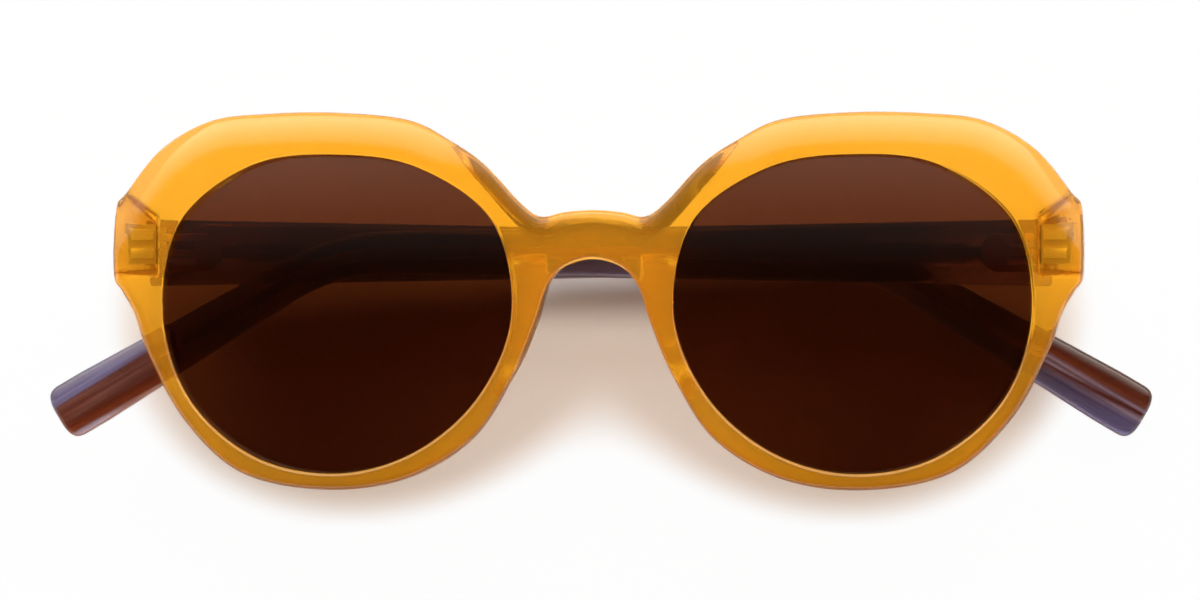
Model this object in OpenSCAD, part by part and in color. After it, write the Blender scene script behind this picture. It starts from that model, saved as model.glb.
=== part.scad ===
// Full-rim acetate sunglasses, folded: a curved front with two lenses and glued nose pads,
// and two wire-cored temples on five-barrel hinges. The right temple lies under the left one.
// Millimetres. +X to the viewer's right, +Y from the front towards the wearer, +Z up.
// The origin is the top of the nose arch, on the back face of the bridge.

/* [Lenses] */
// Width of one lens, measured to the bottom of its groove
lens_w = 51; // [46:0.5:56]
// Height of one lens
lens_h = 45.5; // [40:0.5:50]
// Thickness of a lens
lens_t = 1.9; // [1.6:0.1:2.2]
// Radius of a lens's spherical front face
lens_curve_r = 200; // [170:5:260]
// How far a lens stands in its groove
groove_d = 0.55; // [0.4:0.05:0.8]
// Clearance round a lens in its groove
lens_gap = 0.05; // [0.03:0.01:0.1]

/* [Front] */
// Distance between the lenses
bridge_w = 21; // [18:0.5:24]
// Thickness of the front
front_t = 4; // [3.8:0.1:5]
// Radius of the front's curve about a vertical axis
front_curve_r = 300; // [250:10:400]
// Height of the nose arch above the lens centres
arch_rise = 7.65; // [6:0.1:9]
// Height of the bridge, from the nose arch to its top edge
bridge_h = 6.8; // [5:0.1:8]
// Width of the rim above a lens
rim_top = 5.3; // [4:0.1:7]
// Width of the rim below a lens
rim_bottom = 1.7; // [1.4:0.1:3]
// Width of the end piece outside a lens
end_w = 6.4; // [6:0.1:8]
// How far the end piece's lug stands behind the front
lug_d = 2; // [1.5:0.1:3]

/* [Nose pads] */
// Length of a nose pad
pad_l = 20; // [16:0.5:22]
// How far a nose pad stands behind the front
pad_d = 5; // [3:0.1:6]

/* [Hinges] */
// Height of a five-barrel hinge
hinge_h = 5.5; // [4.5:0.1:7]
// Radius of a hinge barrel
barrel_r = 1.3; // [1.1:0.05:1.35]
// Radius of the hinge screw's shank
screw_r = 0.7; // [0.5:0.05:0.8]
// Radial clearance of the screw in the barrels
screw_gap = 0.05; // [0.02:0.01:0.1]
// Gap between two barrels
barrel_gap = 0.06; // [0.04:0.01:0.15]
// Thickness of a hinge leaf
leaf_t = 1.2; // [0.8:0.1:1.3]
// Length of a temple leaf from the hinge axis to its round end
leaf_l = 8.7; // [7.5:0.1:11]
// Width of the front leaf
front_leaf_w = 4; // [3:0.1:4.2]
// Height of the two studs that anchor a front leaf
stud_h = 1.4; // [1:0.1:1.8]
// Depth of these studs
stud_d = 1.2; // [0.6:0.1:1.5]
// Clearance of a leaf or a wire in its pocket
seat_gap = 0.02; // [0.01:0.01:0.05]

/* [Temples] */
// Length of a temple, along its middle
temple_l = 145; // [135:1:150]
// Thickness of a temple at the hinge
temple_t = 4; // [3.6:0.1:4.2]
// Thickness of a temple at its tip
tip_t = 3.2; // [2.8:0.1:3.6]
// Height of a temple at the hinge
temple_h = 9.4; // [8:0.1:11]
// Height of a temple at the ear bend
bend_h = 5.6; // [5:0.1:7]
// Height of a temple at its tip
tip_h = 7.8; // [6:0.1:9]
// Distance from the hinge axis to the ear bend
bend_start = 91; // [85:1:98]
// Inner radius of the ear bend's middle line
bend_r = 28; // [22:1:36]
// Drop angle of the tip
bend_angle = 30.5; // [24:0.5:36]
// Gap between an open temple and its end piece
butt_gap = 0.15; // [0.1:0.05:0.4]

/* [Core wires] */
// Thickness of a core wire
wire_t = 1; // [0.8:0.1:1.2]
// Height of the plain wire
wire_h = 1.6; // [1.2:0.1:2]
// Height of the toothed stretch
comb_h = 3.2; // [2.6:0.1:4]
// Pitch of its teeth
tooth_pitch = 1.1; // [0.9:0.1:1.4]
// Number of its teeth
teeth = 28; // [20:1:32]
// Distance from the hinge axis to the first tooth
comb_start = 10.5; // [10:0.5:14]
// Distance from the hinge axis to the wire's point
wire_end = 127; // [120:1:132]

/* [Folding] */
// Fold of the right temple, which lies under the other
fold_under = 91.8; // [91.5:0.1:92]
// Fold of the left temple, which lies over it
fold_over = 86.5; // [84:0.1:87]

/* [Hidden] */

$fn = 48;
// Facets of the large curves in a preview
curve_fn = 180;
// Points drawn between two points of an outline
curve_steps = 4;
// Excess of a cutting body over what it cuts
over = 1;

lens_x = (lens_w + bridge_w) / 2;
lens_z = -arch_rise;
half_w = lens_w / 2;
half_h = lens_h / 2;
back_r = front_curve_r - front_t;
wrap_angle = asin(lens_x / front_curve_r);
// The lens stands a little forward of the middle of the front, because its face is a sphere
lens_forward = 0.6;
lens_mid_r = front_curve_r - front_t / 2 + lens_forward;

// Place of the hinge axis outside the lens's edge, and height of the hinge's middle
hinge_out = 0.3;
hinge_z = 0.9;
hinge_x = lens_x + half_w + hinge_out;
// Lug: start outside the hinge axis, margin below the hinge, heights of its sides, cut of its top corner
lug_out = -0.6;
lug_margin = 0.6;
lug_outer_h = 10;
lug_inner_h = 9;
lug_corner = 2.4;
lug_x = hinge_x + lug_out;
lug_y = back_y(hinge_x) + lug_d;
// Room of the barrels before the lug and beside a temple
barrel_front = 0.1;
barrel_side = 0.3;
hinge_y = lug_y + barrel_r + barrel_front;
barrels = 5;
barrel_h = hinge_h / barrels;
// From the hinge axis to the front leaf, the leaf's height above the hinge's middle, place of its studs
front_leaf_in = -0.2;
front_leaf_up = 1.2;
stud_up = 1.3;
stud_inset = 0.4;
// From the hinge axis to a temple's inner face
temple_in = barrel_r + barrel_side;
butt = hinge_y - lug_y - butt_gap;
tip_s = temple_l - butt;
arc_l = bend_r * bend_angle * PI / 180;
wire_in = temple_in + (temple_t - wire_t) / 2;
// Set-back of a temple's leaf from the temple's end, and how far its slots stop before its round end
leaf_back = 0.3;
slot_stop = 1;
screw_head_h = 0.8;
screw_head_inset = 0.1;
screw_head_r = barrel_r - screw_head_inset;
driver_slot_w = 0.3;
// Place of the middle of a nose pad's roundness, inwards of the lens and below its centre
pad_in = 2;
pad_drop = 1.5;

// Outline of a lens, in half widths and half heights from its centre
lens_shape = [[0.99, 0], [0.89, 0.58], [0.48, 0.935], [0, 1], [-0.47, 0.915], [-0.885, 0.58],
              [-0.99, 0], [-0.805, -0.515], [-0.445, -0.865], [0, -1], [0.465, -0.895], [0.835, -0.535]];
// Outline of the front beside a lens: a place on the lens, and how far the rim stands out from there
rim_shape = [[-0.75, 0.74, -1.7, rim_top - 1.3], [-0.6, 0.85, -0.7, rim_top - 0.5],
             [-0.4, 0.94, 0.2, rim_top + 0.35], [0, 1, 0, rim_top], [0.4, 0.95, -0.2, rim_top + 1],
             [0.65, 0.85, 1.4, rim_top + 2.3], [0.88, 0.6, end_w - 3.8, rim_top + 4.1],
             [1, 0.35, end_w - 1.8, 9], [1, 0.35, end_w - 0.3, 6.6], [1, 0.15, end_w - 0.1, 2.3],
             [1, 0, end_w - 1.3, 3.2], [1, 0, 3.3, 0], [0.97, -0.25, 2, -0.15],
             [0.79, -0.6, 1.4, -1.3], [0.5, -0.88, 0.75, -rim_bottom - 0.4], [0.05, -1, 0.7, -rim_bottom],
             [-0.36, -0.92, -0.3, -rim_bottom - 0.4], [-0.68, -0.69, -1.7, -1.75],
             [-0.9, -0.33, -1.85, -1.15], [-1, 0, -2.5, -1.05], [-1, 0.16, -4.1, 0.1]];
// Outline of the bridge's top edge and of the nose arch, in half bridge widths across
bridge_top = [[0, 0], [0.38, -0.3], [0.69, -0.9], [0.96, 1]];
nose_arch = [[0.38, -1.1], [0, 0]];
// Half height of a temple along its length
temple_swell = 0.2;
tip_full = 6;
temple_shape = [[-butt, temple_h / 2], [0.6 * bend_start, (temple_h + 2 * bend_h) / 6 + temple_swell],
                [bend_start, bend_h / 2 + temple_swell], [bend_start + arc_l, bend_h / 2],
                [tip_s - tip_full, tip_h / 2], [tip_s, tip_h / 2]];
// Length and squareness of the rounded tip
tip_round = 2.6;
tip_power = 3.2;
// Stations along a temple's straight, its bend, its tip and the round of the tip
straight_n = 10;
bend_n = 6;
tip_n = 6;
round_n = 9;
round_step = 9.9;
// Depth of the teeth, length and height of the wire's point, stations of the wire's bend
tooth_root = 0.7;
point_l = 6;
point_h = 0.4;
wire_bend_n = 7;

// Depth of the front's back face at a place across it
function back_y(x) = back_r - sqrt(back_r * back_r - x * x);

// One point of a smooth curve through b and c, between the neighbours a and d
function between(a, b, c, d, t) =
    0.5 * (2 * b + (c - a) * t + (2 * a - 5 * b + 4 * c - d) * t * t + (3 * b - a - 3 * c + d) * t * t * t);
// A smooth closed curve through the points of a list
function smooth(p) = let (n = len(p))
    [for (i = [0:n - 1], k = [0:curve_steps - 1])
        between(p[(i + n - 1) % n], p[i], p[(i + 1) % n], p[(i + 2) % n], k / curve_steps)];

// A lens's outline, grown or shrunk evenly by a distance
function lens_outline(grow = 0) =
    smooth([for (p = lens_shape) [lens_x + p.x * (half_w + grow), lens_z + p.y * (half_h + grow)]]);
function half_front() = concat(
    [for (p = bridge_top) [p.x * bridge_w / 2, bridge_h + p.y]],
    [for (p = rim_shape) [lens_x + p[0] * half_w + p[2], lens_z + p[1] * half_h + p[3]]],
    [for (p = nose_arch) [p.x * bridge_w / 2, p.y]]);
function front_outline() = let (h = half_front(), n = len(h))
    smooth(concat(h, [for (i = [n - 2:-1:1]) [-h[i].x, h[i].y]]));

// Middle line of an open temple: distance behind the hinge axis, and height above it
function along(s) =
    s < bend_start ? [s, 0]
    : s < bend_start + arc_l ? let (a = (s - bend_start) / bend_r * 180 / PI)
        [bend_start + bend_r * sin(a), -bend_r * (1 - cos(a))]
    : let (r = s - bend_start - arc_l)
        [bend_start + bend_r * sin(bend_angle) + r * cos(bend_angle),
         -bend_r * (1 - cos(bend_angle)) - r * sin(bend_angle)];
function slope(s) = max(0, min(bend_angle, (s - bend_start) / bend_r * 180 / PI));
// A point beside the middle line
function beside(s, h) = along(s) + h * [sin(slope(s)), cos(slope(s))];
// How full the rounded tip still is, from 1 where it begins to 0 at its end
function tip_fill(u) = u <= 0 ? 1 : pow(max(0, 1 - pow(u, tip_power)), 1 / tip_power);
function temple_half(s) = lookup(s, temple_shape) * tip_fill((s - tip_s + tip_round) / tip_round);
// A closed outline from a list of stations along a temple and of half heights there
function band(st) = concat([for (p = st) beside(p[0], p[1])],
                           [for (i = [len(st) - 1:-1:0]) beside(st[i][0], -st[i][1])]);
function temple_stations() = let (
    bend_end = bend_start + arc_l,
    round_s = tip_s - tip_round,
    places = concat(
        [for (i = [0:straight_n]) -butt + (bend_start + butt) * i / straight_n],
        [for (i = [1:bend_n]) bend_start + arc_l * i / bend_n],
        [for (i = [1:tip_n]) bend_end + (round_s - bend_end) * i / tip_n],
        [for (i = [1:round_n]) round_s + tip_round * sin(i * round_step)]))
    [for (s = places) [s, temple_half(s)]];
function wire_stations(grow) = let (comb_end = comb_start + teeth * tooth_pitch) concat(
    [[-butt, wire_h / 2 + grow], [comb_start - grow, wire_h / 2 + grow]],
    [for (i = [0:teeth - 1], k = [0, 1])
        [comb_start + (i + k / 2) * tooth_pitch, comb_h / 2 * (k == 0 ? 1 : tooth_root) + grow]],
    [[comb_end, wire_h / 2 + grow]],
    [for (i = [0:wire_bend_n]) [bend_start + arc_l * i / wire_bend_n, wire_h / 2 + grow]],
    [[wire_end - point_l, wire_h / 2 + grow], [wire_end + grow, point_h / 2 + grow]]);

// An outline seen from the front, given depth from y0 to y1
module slab(points, y0, y1) {
    translate([0, y1, 0]) rotate([90, 0, 0]) linear_extrude(y1 - y0) polygon(points);
}

// An outline in a temple's side view, given thickness from the hinge axis outwards
module side_plate(points, x0, t) {
    translate([hinge_x + x0, hinge_y, hinge_z]) rotate([90, 0, 90]) linear_extrude(t) polygon(points);
}

// All that lies within a radius of the axis of the front's curve
module within(r) {
    translate([0, back_r, -3 * lens_h]) cylinder(r = r, h = 6 * lens_h, $fn = curve_fn);
}

// A round body about the hinge axis
module on_hinge(r, z0, h) {
    translate([hinge_x, hinge_y, hinge_z + z0]) cylinder(r = r, h = h);
}

// The left piece is a mirror image of the right one
module on_left() {
    mirror([1, 0, 0]) children();
}

// Turns an open temple's pieces about the hinge axis
module folded(angle) {
    translate([hinge_x, hinge_y, 0]) rotate([0, 0, angle]) translate([-hinge_x, -hinge_y, 0]) children();
}

// A lens, or the room for one when it is grown by a clearance
module lens_body(grow = 0) {
    middle = [lens_mid_r * sin(wrap_angle), back_r - lens_mid_r * cos(wrap_angle), lens_z];
    centre = middle + (lens_curve_r - lens_t / 2) * [-sin(wrap_angle), cos(wrap_angle), 0];
    intersection() {
        slab(lens_outline(grow), -front_t - 2 * lens_t, lens_h / 2);
        translate(centre) difference() {
            sphere(lens_curve_r + grow, $fn = curve_fn);
            sphere(lens_curve_r - lens_t - grow, $fn = curve_fn);
        }
    }
}

// The block behind an end piece that carries the hinge
module lug() {
    outer = lens_x + half_w + end_w;
    low = hinge_z - hinge_h / 2 - lug_margin;
    shape = [[lug_x, low], [outer, low], [outer, low + lug_outer_h],
             [outer - lug_corner, low + lug_outer_h + lug_corner], [lug_x, low + lug_inner_h]];
    intersection() {
        slab(front_outline(), 0, lug_y);
        slab(shape, 0, lug_y);
        within(back_r + over);
    }
}

// The leaf of a hinge's front half with its studs, or their pocket when they are grown by a clearance
module front_leaf(grow = 0) {
    mid_z = hinge_z + front_leaf_up;
    leaf_x = hinge_x + front_leaf_in - grow;
    stud_y = lug_y - leaf_t - stud_d - grow;
    translate([leaf_x, lug_y - leaf_t - grow, mid_z - hinge_h / 2 - grow])
        cube([front_leaf_w + 2 * grow, leaf_t + grow, hinge_h + 2 * grow]);
    for (side = [-1, 1])
        translate([leaf_x + stud_inset, stud_y, mid_z + side * stud_up - stud_h / 2 - grow])
            cube([front_leaf_w - 2 * stud_inset + 2 * grow, stud_d + leaf_t / 2, stud_h + 2 * grow]);
}

// The barrels of a hinge's front half, each with the web that joins it to the leaf
module front_barrels() {
    for (i = [1, 3]) {
        z0 = -hinge_h / 2 + i * barrel_h + barrel_gap / 2;
        on_hinge(barrel_r, z0, barrel_h - barrel_gap);
        translate([hinge_x + front_leaf_in, lug_y - leaf_t / 2, hinge_z + z0])
            cube([barrel_r - front_leaf_in, hinge_y - lug_y + leaf_t / 2, barrel_h - barrel_gap]);
    }
}

// The leaf of a hinge's temple half, or its pocket when it is grown by a clearance
module temple_leaf(grow = 0) {
    height = hinge_h - 2 * barrel_gap;
    start = -butt + leaf_back - grow;
    round_s = leaf_l - height / 2;
    top = height / 2 + grow;
    side_plate([[start, -top], [round_s, -top], [round_s, top], [start, top]], temple_in, leaf_t + grow);
    translate([hinge_x + temple_in, hinge_y + round_s, hinge_z])
        rotate([0, 90, 0]) cylinder(r = height / 2 + grow, h = leaf_t + grow);
}

// The barrels of a hinge's temple half, each with its web
module temple_barrels() {
    for (i = [0, 2, 4]) {
        z0 = -hinge_h / 2 + i * barrel_h + barrel_gap;
        height = barrel_h - 2 * barrel_gap;
        on_hinge(barrel_r, z0, height);
        translate([hinge_x, hinge_y - butt + leaf_back, hinge_z + z0])
            cube([temple_in + leaf_t / 2, butt + barrel_r - leaf_back, height]);
    }
}

// Room in the lug for the webs of the front barrels
module front_web_pocket() {
    low = hinge_z - hinge_h / 2 + barrel_h - seat_gap;
    translate([hinge_x + front_leaf_in - seat_gap, lug_y - leaf_t, low])
        cube([barrel_r - front_leaf_in + 2 * seat_gap, leaf_t + over, hinge_h / 2]);
}

// Shaped front: curved plate, lens grooves, lugs and hinge pockets
module front_frame() {
    color("#f5b64a") difference() {
        union() {
            difference() {
                intersection() {
                    slab(front_outline(), -front_t - over, lens_h);
                    within(front_curve_r);
                }
                within(back_r);
            }
            lug();
            on_left() lug();
        }
        for (side = [0, 1]) mirror([side, 0, 0]) {
            slab(lens_outline(-groove_d), -front_t - over, lens_h);
            lens_body(lens_gap);
            front_leaf(seat_gap);
            front_web_pocket();
        }
    }
}

module lens() {
    color("#4a2412") lens_body();
}

// A glued pad: the nose side of the rim, built up behind the front and rounded off
module nose_pad() {
    round_r = (pad_l * pad_l / 4 + pad_d * pad_d) / (2 * pad_d);
    color("#f0b04c") intersection() {
        difference() {
            slab(front_outline(), 0, lens_h);
            slab(lens_outline(lens_gap), -over, lens_h + over);
        }
        within(back_r);
        translate([bridge_w / 2 - pad_in, pad_d - round_r, lens_z - pad_drop])
            sphere(round_r, $fn = curve_fn);
    }
}

module front_hinge() {
    color("#b9b2a4") difference() {
        union() {
            front_leaf();
            front_barrels();
        }
        on_hinge(screw_r + screw_gap, -hinge_h, 2 * hinge_h);
    }
}

module temple_hinge() {
    color("#b9b2a4") difference() {
        union() {
            temple_leaf();
            temple_barrels();
        }
        on_hinge(screw_r + screw_gap, -hinge_h, 2 * hinge_h);
        for (i = [1, 3]) hinge_slot(i);
    }
}

// Slot between two barrels, cut on into the temple's leaf
module hinge_slot(i) {
    translate([hinge_x - over, hinge_y - 2 * butt, hinge_z - hinge_h / 2 + i * barrel_h])
        cube([temple_in + leaf_t + 2 * over, 2 * butt + leaf_l - hinge_h / 2 - slot_stop, barrel_h]);
}

module hinge_screw() {
    slot_z = hinge_z + (hinge_h + screw_head_h) / 2;
    color("#d8d2c4") difference() {
        union() {
            on_hinge(screw_r, -hinge_h / 2, hinge_h + screw_head_h / 2);
            on_hinge(screw_head_r, hinge_h / 2, screw_head_h);
        }
        translate([hinge_x - screw_head_r, hinge_y - driver_slot_w / 2, slot_z])
            cube([2 * screw_head_r, driver_slot_w, screw_head_h]);
    }
}

// A temple, open: its side outline and its tapering plan, less its leaf and wire
module temple() {
    plan = [[temple_in, -butt], [temple_in + temple_t, -butt],
            [temple_in + tip_t, tip_s], [temple_in, tip_s]];
    color("#8a5a4c") difference() {
        intersection() {
            side_plate(band(temple_stations()), 0, 3 * temple_t);
            translate([hinge_x, hinge_y, hinge_z - lens_h]) linear_extrude(2 * lens_h) polygon(plan);
        }
        temple_leaf(seat_gap);
        side_plate(band(wire_stations(seat_gap)), wire_in - seat_gap, wire_t + 2 * seat_gap);
    }
}

module core_wire() {
    color("#c9a36a") side_plate(band(wire_stations(0)), wire_in, wire_t);
}

front_frame();
lens();  // lens_right
on_left() lens();  // lens_left
nose_pad();  // nose_pad_right
on_left() nose_pad();  // nose_pad_left
front_hinge();  // front_hinge_right
on_left() front_hinge();  // front_hinge_left
folded(fold_under) temple_hinge();  // temple_hinge_right
on_left() folded(fold_over) temple_hinge();  // temple_hinge_left
hinge_screw();  // hinge_screw_right
on_left() hinge_screw();  // hinge_screw_left
folded(fold_under) temple();  // temple_right
on_left() folded(fold_over) temple();  // temple_left
folded(fold_under) core_wire();  // core_wire_right
on_left() folded(fold_over) core_wire();  // core_wire_left
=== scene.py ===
import math
import bmesh
import bpy
import numpy as np
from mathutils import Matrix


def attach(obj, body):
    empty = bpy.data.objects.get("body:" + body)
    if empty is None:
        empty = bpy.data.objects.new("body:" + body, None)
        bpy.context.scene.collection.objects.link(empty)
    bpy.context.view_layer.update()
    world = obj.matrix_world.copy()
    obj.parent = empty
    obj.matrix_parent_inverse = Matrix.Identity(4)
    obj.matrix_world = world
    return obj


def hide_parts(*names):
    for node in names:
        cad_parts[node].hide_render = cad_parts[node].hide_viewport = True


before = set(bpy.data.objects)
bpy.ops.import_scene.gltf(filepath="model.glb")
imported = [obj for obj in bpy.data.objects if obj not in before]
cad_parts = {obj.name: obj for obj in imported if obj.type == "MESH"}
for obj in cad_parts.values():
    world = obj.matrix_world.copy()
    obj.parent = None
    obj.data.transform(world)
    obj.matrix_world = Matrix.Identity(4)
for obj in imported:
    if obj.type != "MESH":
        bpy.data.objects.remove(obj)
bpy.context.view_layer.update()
scene = bpy.context.scene
scene.view_settings.view_transform = "Standard"
mm = 0.001  # sizes below are in millimetres, apart from the strips and the card's stops in metres


# Meshes

# Catmull-Rom curve through a closed list of points, a number of steps to each span
def closedCurve(points, steps):
    p = np.asarray(points, float)
    a, c, d = np.roll(p, 1, 0), np.roll(p, -1, 0), np.roll(p, -2, 0)
    t = np.linspace(0, 1, steps, endpoint=False)[None, :, None]
    a, b, c, d = (q[:, None, :] for q in (a, p, c, d))
    curve = 2 * b + (c - a) * t + (2 * a - 5 * b + 4 * c - d) * t**2 + (3 * b - a - 3 * c + d) * t**3
    return (0.5 * curve).reshape(-1, 2)


# Points at even distances along an open line
def spread(line, count):
    run = np.concatenate([[0], np.cumsum(np.hypot(*np.diff(line, axis=0).T))])
    at = np.linspace(0, run[-1], count)
    return np.stack([np.interp(at, run, line[:, k]) for k in (0, 1)], 1)


# Shortest distance from each point to a closed line, and the height of the line's nearest corner
def toLine(points, line, atOnce=4000):
    a, b = line, np.roll(line, -1, 0)
    flat = points.reshape(-1, 2)
    best = np.zeros(len(flat))
    near = np.zeros(len(flat))
    for part in np.array_split(np.arange(len(flat)), max(1, len(flat) // atOnce)):
        q = flat[part][:, None, :]
        t = np.clip(((q - a) * (b - a)).sum(2) / ((b - a) ** 2).sum(1), 0, 1)
        gap = np.linalg.norm(q - a - t[..., None] * (b - a), axis=2)
        k = gap.argmin(1)
        best[part], near[part] = gap[np.arange(len(part)), k], line[k, 1]
    return best.reshape(points.shape[:-1]), near.reshape(points.shape[:-1])


# Depth taken off by a quarter round of radius r, at a distance from the edge
def roundOff(gap, r):
    e = np.clip(r - gap, 0, r)
    return r - np.sqrt(r * r - e * e)


# Smooth step from 0 at low to 1 at high
def ease(x, low, high):
    t = np.clip((x - low) / (high - low), 0, 1)
    return t * t * (3 - 2 * t)


# Four corners of each cell of a grid, closed in either direction where asked
def cells(rows, columns, closeRows=False, closeColumns=False):
    index = np.arange(rows * columns).reshape(rows, columns)
    if closeRows:
        index = np.vstack([index, index[:1]])
    if closeColumns:
        index = np.hstack([index, index[:, :1]])
    return np.stack([index[:-1, :-1], index[1:, :-1], index[1:, 1:], index[:-1, 1:]], -1).reshape(-1, 4)


seams = {"merge": 0.0005, "thin": 0.0002, "crease": 50}


# Puts points in millimetres into a mesh, merges its seams and poles and turns its faces outwards
def makePiece(name, points, faces, material, crease=seams["crease"], along=None):
    mesh = bpy.data.meshes.new(name)
    mesh.from_pydata((np.asarray(points).reshape(-1, 3) * mm).tolist(), [], np.asarray(faces).tolist())
    if along is not None:
        mesh.attributes.new("along", "FLOAT_VECTOR", "POINT").data.foreach_set("vector", along.ravel())
    shape = bmesh.new()
    shape.from_mesh(mesh)
    bmesh.ops.remove_doubles(shape, verts=shape.verts, dist=seams["merge"] * mm)
    bmesh.ops.dissolve_degenerate(shape, edges=shape.edges, dist=seams["thin"] * mm)
    bmesh.ops.recalc_face_normals(shape, faces=shape.faces)
    shape.to_mesh(mesh)
    shape.free()
    mesh.shade_smooth()
    mesh.set_sharp_from_angle(angle=math.radians(crease))
    mesh.materials.append(material)
    piece = bpy.data.objects.new(name, mesh)
    scene.collection.objects.link(piece)
    return piece


# The left side from the right one: x with its sign changed
def mirrored(points):
    return points * np.array([-1.0, 1.0, 1.0])


# Materials

plain = (1, 1, 1)


# Adds a node with its settings, then the values of its sockets
def newNode(tree, kind, values=None, **settings):
    node = tree.nodes.new(kind)
    for key, value in settings.items():
        setattr(node, key, value)
    for key, value in (values or {}).items():
        node.inputs[key].default_value = value
    return node


# Joins each output to the input beside it
def joinAll(tree, pairs):
    for a, b in pairs:
        tree.links.new(a, b)


# A material with one plain shader joined to its output
def startMaterial(name, values):
    material = bpy.data.materials.new(name)
    material.use_nodes = True
    tree = material.node_tree
    tree.nodes.clear()
    shader = newNode(tree, "ShaderNodeBsdfPrincipled", values)
    out = newNode(tree, "ShaderNodeOutputMaterial")
    tree.links.new(shader.outputs[0], out.inputs["Surface"])
    return material, tree, shader, out


# Lamps shine through a clear piece, tinted, instead of leaving a black shadow behind it
def letLampsThrough(tree, shader, out, tint):
    path = newNode(tree, "ShaderNodeLightPath")
    clear = newNode(tree, "ShaderNodeBsdfTransparent", {"Color": (*tint, 1)})
    mix = newNode(tree, "ShaderNodeMixShader")
    tree.links.new(path.outputs["Is Shadow Ray"], mix.inputs[0])
    tree.links.new(shader.outputs[0], mix.inputs[1])
    tree.links.new(clear.outputs[0], mix.inputs[2])
    tree.links.new(mix.outputs[0], out.inputs["Surface"])


# Ramp node with its stops set from a list of (place, colour)
def ramp(tree, stops, mode="EASE"):
    node = newNode(tree, "ShaderNodeValToRGB")
    node.color_ramp.interpolation = mode
    bar = node.color_ramp.elements
    while len(bar) < len(stops):
        bar.new(0.5)
    for stop, (place, colour) in zip(bar, stops):
        stop.position, stop.color = place, (*colour, 1)
    return node


# Colour between two near shades, by a mask that stays mostly between 0.3 and 0.7
def twoShades(tree, first, second):
    return ramp(tree, [(0.3, first), (0.7, second)])


# Product of two colours: sockets 0, 6 and 7 of the mix are its share and the colours, output 2 the result
def product(tree, first, second, share=None):
    node = newNode(tree, "ShaderNodeMix", {0: 1.0}, data_type="RGBA", blend_type="MULTIPLY")
    tree.links.new(first, node.inputs[6])
    if isinstance(second, tuple):
        node.inputs[7].default_value = (*second, 1)
    else:
        tree.links.new(second, node.inputs[7])
    if share is not None:
        tree.links.new(share, node.inputs[0])
    return node.outputs[2]


# An empty node group with named inputs and outputs
def newGroup(name, inputs, outputs):
    group = bpy.data.node_groups.new(name, "ShaderNodeTree")
    for label, kind, value in inputs:
        socket = group.interface.new_socket(label, in_out="INPUT", socket_type=kind)
        if value is not None:
            socket.default_value = value
    for label, kind in outputs:
        group.interface.new_socket(label, in_out="OUTPUT", socket_type=kind)
    return group, newNode(group, "NodeGroupInput"), newNode(group, "NodeGroupOutput")


# Polished plastic: cloudy mask for the colour, faint hand-polish ripple and roughness patches
polish, goesIn, goesOut = newGroup(
    "polish",
    [("Vector", "NodeSocketVector", None), ("Cloud Scale", "NodeSocketFloat", 60.0),
     ("Low Roughness", "NodeSocketFloat", 0.05), ("High Roughness", "NodeSocketFloat", 0.12),
     ("Ripple", "NodeSocketFloat", 0.02)],
    [("Cloud", "NodeSocketFloat"), ("Roughness", "NodeSocketFloat"), ("Normal", "NodeSocketVector")])
cloud = newNode(polish, "ShaderNodeTexNoise", {"Detail": 3.0, "Roughness": 0.45})
patches = newNode(polish, "ShaderNodeTexNoise", {"Scale": 420.0, "Detail": 2.0})
span = newNode(polish, "ShaderNodeMapRange")
wave = newNode(polish, "ShaderNodeTexNoise", {"Scale": 130.0, "Detail": 1.0})
lift = newNode(polish, "ShaderNodeBump", {"Distance": 0.0004})
joinAll(polish, [(goesIn.outputs["Vector"], cloud.inputs["Vector"]),
                 (goesIn.outputs["Cloud Scale"], cloud.inputs["Scale"]),
                 (goesIn.outputs["Vector"], patches.inputs["Vector"]),
                 (patches.outputs[0], span.inputs["Value"]),
                 (goesIn.outputs["Low Roughness"], span.inputs["To Min"]),
                 (goesIn.outputs["High Roughness"], span.inputs["To Max"]),
                 (goesIn.outputs["Vector"], wave.inputs["Vector"]),
                 (wave.outputs[0], lift.inputs["Height"]),
                 (goesIn.outputs["Ripple"], lift.inputs["Strength"]),
                 (cloud.outputs[0], goesOut.inputs["Cloud"]),
                 (span.outputs[0], goesOut.inputs["Roughness"]),
                 (lift.outputs[0], goesOut.inputs["Normal"])])

# Streaked acetate: long wavy layers, read from the place along, up and through a temple
layers = {"long": (0.012, 0.16, 0.1), "fine": (0.03, 0.9, 0.4), "half": 4.7}
streaks, goesIn, goesOut = newGroup(
    "streaks",
    [("Vector", "NodeSocketVector", None), ("Shift", "NodeSocketVector", None),
     ("Waviness", "NodeSocketFloat", 0.9)],
    [("Layer", "NodeSocketFloat"), ("Thread", "NodeSocketFloat")])
moved = newNode(streaks, "ShaderNodeVectorMath", operation="ADD")
long = newNode(streaks, "ShaderNodeVectorMath", {1: layers["long"]}, operation="MULTIPLY")
layer = newNode(streaks, "ShaderNodeTexNoise",
                {"Scale": 1.0, "Detail": 2.0, "Roughness": 0.4, "Distortion": 0.5})
fine = newNode(streaks, "ShaderNodeVectorMath", {1: layers["fine"]}, operation="MULTIPLY")
thread = newNode(streaks, "ShaderNodeTexNoise", {"Scale": 1.0, "Detail": 3.0, "Roughness": 0.55})
apart = newNode(streaks, "ShaderNodeSeparateXYZ")
height = newNode(streaks, "ShaderNodeMapRange", {"From Min": -layers["half"], "From Max": layers["half"]},
                 clamp=False)
centred = newNode(streaks, "ShaderNodeMath", {1: 0.5}, operation="SUBTRACT")
sway = newNode(streaks, "ShaderNodeMath", operation="MULTIPLY")
total = newNode(streaks, "ShaderNodeMath", operation="ADD")
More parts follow.
